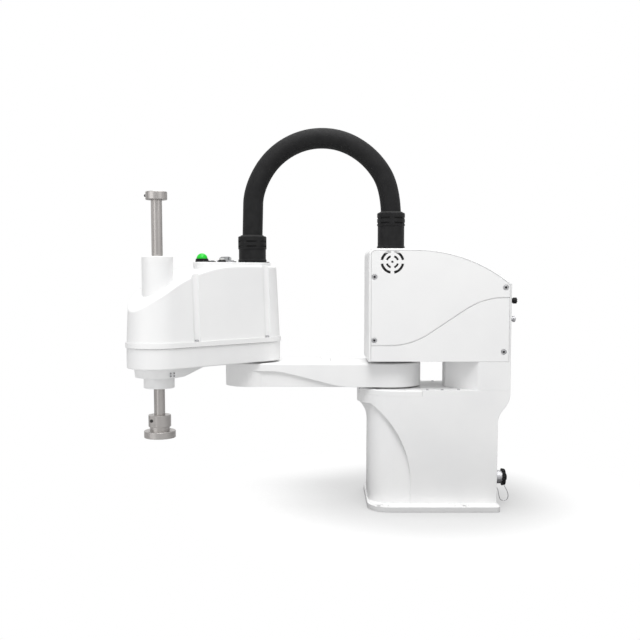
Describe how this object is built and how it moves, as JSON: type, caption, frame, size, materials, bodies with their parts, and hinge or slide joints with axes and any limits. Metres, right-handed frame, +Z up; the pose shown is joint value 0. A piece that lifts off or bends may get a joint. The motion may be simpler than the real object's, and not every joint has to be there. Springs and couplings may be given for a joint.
{
  "type": "scara robot",
  "caption": "Four-axis selective-compliance robot: a scooped base with a tower, an inner and an outer arm, a vertical splined shaft with a tool flange and an arched cable hose.",
  "frame": {"origin": "on the mounting face, under the first joint's axis", "axes": "+Z up along the first joint, +X forward along the inner arm at rest"},
  "size_m": [0.7373, 0.3291, 0.74],
  "materials": {
    "white_casting": "white textured paint on cast aluminium",
    "white_cover": "white satin moulded plastic",
    "bare_steel": "ground and brushed steel",
    "white_steel": "white paint on steel",
    "bare_aluminium": "machined aluminium",
    "motor_black": "black anodised aluminium",
    "black_plastic": "black moulded plastic",
    "hose_black": "black matt flexible hose",
    "belt_black": "black toothed rubber belt",
    "seal_rubber": "black rubber",
    "lamp_green": "clear green moulded lens",
    "button_face": "moulded plastic",
    "screw_black": "black oxide steel",
    "board_green": "circuit board",
    "connector_metal": "plated connector shell"
  },
  "bodies": {
    "base": {"base_casting": "white_casting", "j1_collar_cover": "white_casting", "j1_collar_screws": "bare_steel", "j1_reducer": "bare_aluminium", "j1_motor": "motor_black", "neck_casting": "white_casting", "tower_casting": "white_casting", "tower_cover_left": "white_cover", "tower_cover_right": "white_cover", "tower_cover_screws": "screw_black", "drive_board": "board_green", "power_supply": "bare_aluminium", "connector_plate": "white_casting", "upper_connector": "black_plastic", "lower_connector": "connector_metal", "base_connector": "connector_metal", "connector_cap": "black_plastic", "cap_tether": "connector_metal", "rear_hose_fitting": "black_plastic"},
    "inner_arm": {"j1_output_flange": "bare_aluminium", "link1_casting": "white_casting", "link1_bottom_cover": "white_cover", "j2_stop_block": "white_casting", "j2_pivot_flange": "bare_aluminium", "hose": "hose_black"},
    "outer_arm": {"link2_casting": "white_casting", "j2_reducer": "bare_aluminium", "j2_motor": "motor_black", "cover_seal": "seal_rubber", "link2_cover": "white_cover", "cover_screws": "screw_black", "sleeve_cap": "white_cover", "deck_plate": "white_casting", "lamp_base": "black_plastic", "lamp_dome": "lamp_green", "button_bezel": "black_plastic", "user_connector": "connector_metal", "air_fittings": "connector_metal", "front_hose_fitting": "black_plastic", "spline_bearing": "bare_steel", "j4_belt": "belt_black", "j4_motor": "motor_black", "j4_motor_mount": "bare_aluminium", "screw_bearing": "bare_steel", "nut_housing": "bare_aluminium", "j3_belt": "belt_black", "j3_motor": "motor_black", "j3_motor_mount": "bare_aluminium"},
    "spline_nut": {"spline_nut": "white_steel", "spline_pulley": "bare_aluminium"},
    "ball_nut": {"ball_nut": "bare_steel", "screw_pulley": "bare_aluminium"},
    "quill": {"spline_shaft": "bare_steel", "top_stop_collar": "bare_steel", "tool_flange": "bare_steel"},
    "j3_motor_pulley": {"j3_motor_pulley": "bare_aluminium"},
    "j4_motor_pulley": {"j4_motor_pulley": "bare_aluminium"},
    "release_button": {"release_button": "button_face"}
  },
  "joints": [
    {"name": "j1", "type": "hinge", "parent": "base", "child": "inner_arm", "pos_m": [0, 0, 0.234], "axis": [0, 0, 1], "range_deg": [-132, 132]},
    {"name": "j2", "type": "hinge", "parent": "inner_arm", "child": "outer_arm", "pos_m": [0.275, 0, 0.2835], "axis": [0, 0, -1], "range_deg": [-96.3, 185.7]},
    {"name": "j4", "type": "hinge", "parent": "outer_arm", "child": "spline_nut", "pos_m": [0.43493, 0.15826, 0.3], "axis": [0, 0, 1], "range_deg": [-360, 360]},
    {"name": "j3", "type": "slide", "parent": "spline_nut", "child": "quill", "axis": [0, 0, 1], "range_m": [-0.1005, 0.0495]},
    {"name": "ball_nut_turn", "type": "hinge", "parent": "outer_arm", "child": "ball_nut", "pos_m": [0.43493, 0.15826, 0.3], "axis": [0, 0, 1], "range_deg": [-1810, 892]},
    {"name": "j3_motor_turn", "type": "hinge", "parent": "outer_arm", "child": "j3_motor_pulley", "pos_m": [0.35548, 0.1106, 0.375], "axis": [0, 0, 1], "range_deg": [-5430, 2676]},
    {"name": "j4_motor_turn", "type": "hinge", "parent": "outer_arm", "child": "j4_motor_pulley", "pos_m": [0.38784, 0.0779, 0.304], "axis": [0, 0, 1], "range_deg": [-721, 721]},
    {"name": "release_press", "type": "slide", "parent": "outer_arm", "child": "release_button", "axis": [0, 0, -1], "range_m": [0, 0.003], "stiffness_N_per_m": 400}
  ],
  "couplings": [
    {"joint": "ball_nut_turn", "follows": "j3", "rad_per_m": 314.16},
    {"joint": "j3_motor_turn", "follows": "j3", "rad_per_m": 942.48},
    {"joint": "j4_motor_turn", "follows": "j4", "ratio": 2}
  ]
}
